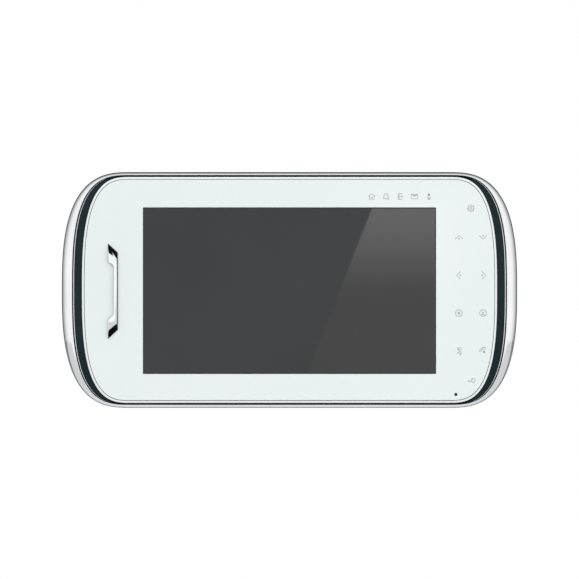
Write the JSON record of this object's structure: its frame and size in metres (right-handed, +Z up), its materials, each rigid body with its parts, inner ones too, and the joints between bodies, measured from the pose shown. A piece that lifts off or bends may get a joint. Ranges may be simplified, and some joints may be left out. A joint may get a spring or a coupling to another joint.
{
  "type": "video intercom monitor",
  "caption": "Wall-hung hands-free video intercom monitor with a seven-inch screen, touch keys, chrome surround and a lift-off steel wall bracket.",
  "frame": {"origin": "on the wall plane, at the middle of the wall bracket's flat back", "axes": "+Z up the wall, +X to the right of someone facing the screen, +Y into the wall; the screen faces -Y"},
  "size_m": [0.2426, 0.0299, 0.1256],
  "materials": {
    "gloss_white": "high-gloss white",
    "white_moulding": "moulded white, semi-gloss",
    "dark_glass": "dark clear acrylic, polished",
    "lcd_glass": "dark display glass",
    "gloss_black": "piano black",
    "chrome": "mirror chrome plating",
    "zinc_steel": "zinc-plated sheet and screws",
    "circuit_board": "green solder mask",
    "black_plastic": "black moulding",
    "ivory_plastic": "natural nylon",
    "foam": "closed-cell foam",
    "amber_film": "polyimide film",
    "paper_cone": "doped paper"
  },
  "bodies": {
    "bracket": {"wall_bracket": "zinc_steel"},
    "monitor": {"rear_housing": "white_moulding", "front_bezel": "white_moulding", "side_band": "gloss_black", "chrome_frame": "chrome", "front_panel": "gloss_white", "screen_window": "dark_glass", "handset_trim": "chrome", "lcd_gasket": "foam", "lcd_frame": "zinc_steel", "lcd_glass": "lcd_glass", "backlight": "ivory_plastic", "lcd_strip_left": "zinc_steel", "lcd_strip_right": "zinc_steel", "main_board": "circuit_board", "processor": "black_plastic", "header_door_one": "ivory_plastic", "header_door_two": "ivory_plastic", "header_second_monitor": "ivory_plastic", "header_power_in": "ivory_plastic", "touch_board": "circuit_board", "touch_board_screw_upper": "zinc_steel", "touch_board_screw_lower": "zinc_steel", "indicator_board": "circuit_board", "mic_gasket": "foam", "microphone": "zinc_steel", "speaker_gasket": "foam", "speaker_basket": "zinc_steel", "speaker_cone": "paper_cone", "speaker_magnet": "zinc_steel", "speaker_screw_upper": "zinc_steel", "speaker_screw_lower": "zinc_steel", "power_board": "circuit_board", "power_board_screw_upper": "zinc_steel", "power_board_screw_lower": "zinc_steel", "filter_capacitor": "black_plastic", "power_inductor": "black_plastic", "display_ribbon": "amber_film", "touch_ribbon": "amber_film", "power_switch_body": "black_plastic", "housing_screw_top_left": "zinc_steel", "main_board_screw_top_left": "zinc_steel", "lcd_strip_screw_top_left": "zinc_steel", "housing_screw_top_right": "zinc_steel", "main_board_screw_top_right": "zinc_steel", "lcd_strip_screw_top_right": "zinc_steel", "housing_screw_bottom_left": "zinc_steel", "main_board_screw_bottom_left": "zinc_steel", "lcd_strip_screw_bottom_left": "zinc_steel", "housing_screw_bottom_right": "zinc_steel", "main_board_screw_bottom_right": "zinc_steel", "lcd_strip_screw_bottom_right": "zinc_steel"},
    "switch_slider": {"power_switch_slider": "black_plastic"}
  },
  "joints": [
    {"name": "lift_off", "type": "slide", "parent": "bracket", "child": "monitor", "axis": [0, 0, 1], "range_m": [0, 0.006]},
    {"name": "power_switch_slide", "type": "slide", "parent": "monitor", "child": "switch_slider", "axis": [1, 0, 0], "range_m": [0, 0.0025]}
  ]
}
